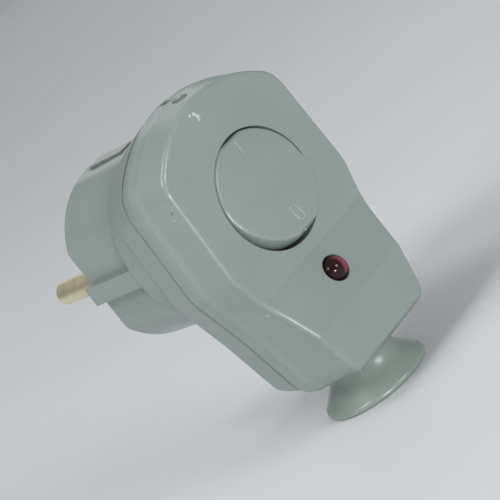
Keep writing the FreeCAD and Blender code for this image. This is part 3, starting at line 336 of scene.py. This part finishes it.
def smooth_object(sheet, name, material):
    """Turn a finished bmesh into a smooth object of one material in the scene."""
    mesh = bpy.data.meshes.new(name)
    sheet.to_mesh(mesh)
    sheet.free()
    for face in mesh.polygons:
        face.use_smooth = True
    mesh.materials.append(material)
    thing = bpy.data.objects.new(name, mesh)
    bpy.context.scene.collection.objects.link(thing)
    return thing


def keep_piece(sheet, name, body, material):
    """Turn a finished bmesh into a piece that rides on a body and has its material."""
    bmesh.ops.recalc_face_normals(sheet, faces=sheet.faces)
    piece = smooth_object(sheet, name, material)
    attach(piece, body)
    return piece


def part_along_z(sheet, half_gap):
    """Pull the upper and lower halves of a shape apart."""
    for corner in sheet.verts:
        corner.co.z += math.copysign(half_gap, corner.co.z)


def lay_on(sheet, node):
    """Move a shape drawn in X and Z back until it lies on the front of a node."""
    surface = BVHTree.FromObject(NODES[node], bpy.context.evaluated_depsgraph_get())
    for corner in sheet.verts:
        start = Vector((corner.co.x, CAD_BOX[0][1] - MM, corner.co.z))
        corner.co.y += surface.ray_cast(start, Vector((0, 1, 0)))[0].y


def on_mark():
    """Raise the bar of the on mark: a low straight rib with rounded ends."""
    bar = bmesh.new()
    bmesh.ops.create_uvsphere(bar, u_segments=16, v_segments=12, radius=ON_MARK_RADIUS)
    bmesh.ops.scale(bar, verts=bar.verts, vec=(1.0, 0.7, 1.0))
    part_along_z(bar, ON_MARK_HALF_LENGTH)
    bmesh.ops.translate(bar, verts=bar.verts, vec=ON_MARK_PLACE)
    lay_on(bar, "rocker_button")
    keep_piece(bar, "on_mark", "rocker", MARK_GREY_PAINTED_LIGHTER)


def off_mark():
    """Raise the ring of the off mark: a low rib round an upright oval."""
    ring = bmesh.new()
    aside = Matrix.Translation((OFF_MARK_HALF_WIDTH, 0, 0))
    bmesh.ops.create_circle(ring, segments=12, radius=OFF_MARK_RADIUS, matrix=aside)
    bmesh.ops.spin(ring, geom=ring.verts[:] + ring.edges[:], cent=(0, 0, 0), axis=(0, 1, 0),
                   angle=math.radians(360), steps=40, use_merge=True)
    part_along_z(ring, OFF_MARK_STRAIGHT)
    bmesh.ops.translate(ring, verts=ring.verts, vec=OFF_MARK_PLACE)
    lay_on(ring, "rocker_button")
    keep_piece(ring, "off_mark", "rocker", MARK_GREY_PAINTED_LIGHTER)


def gate_nib():
    """Leave the small nib of the moulding gate on the rocker's lower edge."""
    nib = bmesh.new()
    bmesh.ops.create_uvsphere(nib, u_segments=16, v_segments=10, radius=NIB_RADIUS)
    bmesh.ops.scale(nib, verts=nib.verts, vec=(1.3, 0.8, 1.1))
    bmesh.ops.translate(nib, verts=nib.verts, vec=NIB_PLACE)
    keep_piece(nib, "gate_nib", "rocker", ROCKER_GREY)


def is_rim(edge):
    """Tell whether an edge lies between the rocker's front and its side, where it stands proud."""
    if len(edge.link_faces) != 2:
        return False
    fronts = [face.normal.y < FRONT_NORMAL_LIMIT for face in edge.link_faces]
    proud = max(corner.co.y for corner in edge.verts) < PROUD_DEPTH
    return proud and fronts[0] != fronts[1] and edge.calc_face_angle() > RIM_ANGLE


def rocker_cap():
    """Repeat the rocker with its moulded edge rounded, so that the edge catches the light."""
    cap = bmesh.new()
    cap.from_mesh(NODES["rocker_button"].data)
    bmesh.ops.remove_doubles(cap, verts=cap.verts, dist=0.002 * MM)
    bmesh.ops.dissolve_limit(cap, angle_limit=math.radians(1), verts=cap.verts, edges=cap.edges)
    rim = [edge for edge in cap.edges if is_rim(edge)]
    bmesh.ops.bevel(cap, geom=rim, offset=RIM_ROUNDING, offset_type="OFFSET", segments=5, profile=0.5,
                    affect="EDGES", clamp_overlap=False, material=-1)
    piece = keep_piece(cap, "rocker_cap", "rocker", ROCKER_GREY)
    piece.data.set_sharp_from_angle(angle=math.radians(35))
    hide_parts("rocker_button")


def open_edges(sheet):
    """List the edges that have a face on one side only."""
    return [edge for edge in sheet.edges if edge.is_boundary]


def lens_dome():
    """Make the domed lens of the indicator, seated in its hole in the ramp."""
    dome = bmesh.new()
    bmesh.ops.create_uvsphere(dome, u_segments=48, v_segments=32, radius=LENS_RADIUS)
    everything = dome.verts[:] + dome.edges[:] + dome.faces[:]
    bmesh.ops.bisect_plane(dome, geom=everything, plane_co=(0, 0, 0), plane_no=(0, 0, 1), clear_inner=True)
    skirt = bmesh.ops.extrude_edge_only(dome, edges=open_edges(dome))["geom"]
    moved = [part for part in skirt if isinstance(part, bmesh.types.BMVert)]
    bmesh.ops.translate(dome, verts=moved, vec=(0, 0, -LENS_SKIRT))
    bmesh.ops.holes_fill(dome, edges=open_edges(dome))
    place = Matrix.Translation(LENS_SEAT) @ LENS_AXIS.to_track_quat("Z", "Y").to_matrix().to_4x4()
    bmesh.ops.transform(dome, matrix=place, verts=dome.verts)
    piece = keep_piece(dome, "lens_dome", "housing", RED_PAINTED_GLOW)
    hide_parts("indicator_lens")


on_mark()
off_mark()
gate_nib()
rocker_cap()
lens_dome()


# floor, light and camera

def paper_floor():
    """Make the plain pale floor that the plug stands on; far away it curves up as a studio's paper does."""
    low = CAD_BOX[0][2]
    sheet = bmesh.new()
    bmesh.ops.create_grid(sheet, x_segments=60, y_segments=60, size=PAPER_HALF_SIZE)
    for corner in sheet.verts:
        corner.co.z = low + PAPER_RISE * max(0.0, corner.co.length - PAPER_FLAT_RADIUS) ** 2
    smooth_object(sheet, "floor", pale_paper("pale_paper"))


def softbox(name, place, width, height, power):
    """Add a rectangular studio lamp that faces the plug."""
    lamp = bpy.data.lights.new(name, "AREA")
    lamp.shape = "RECTANGLE"
    lamp.size = width
    lamp.size_y = height
    lamp.energy = power
    holder = bpy.data.objects.new(name, lamp)
    holder.location = place
    holder.rotation_euler = (LAMP_AIM - Vector(place)).to_track_quat("-Z", "Y").to_euler()
    bpy.context.scene.collection.objects.link(holder)


def studio():
    """Light the plug from two windows high on the left, two lamps in front, one behind and a pale sky."""
    world = bpy.data.worlds.new("studio")
    world.use_nodes = True
    sky = world.node_tree.nodes["Background"].inputs
    sky["Color"].default_value = colour("#E6E9EC")
    sky["Strength"].default_value = SKY_STRENGTH
    bpy.context.scene.world = world
    for lamp in LAMPS:
        softbox(*lamp)


def photo_camera():
    """Place the camera where the photograph was taken from."""
    right = CAMERA_RIGHT.normalized()
    up = CAMERA_UP.normalized()
    back = right.cross(up).normalized()
    camera = bpy.data.cameras.new("camera")
    camera.lens = CAMERA_LENS
    camera.sensor_width = CAMERA_SENSOR
    camera.clip_start = CAMERA_NEAR
    holder = bpy.data.objects.new("camera", camera)
    turn = Matrix((right, up, back)).transposed().to_4x4()
    holder.matrix_world = Matrix.Translation(CAMERA_PLACE) @ turn
    bpy.context.scene.collection.objects.link(holder)
    bpy.context.scene.camera = holder


paper_floor()
studio()
photo_camera()
bpy.context.scene.view_settings.view_transform = "Standard"
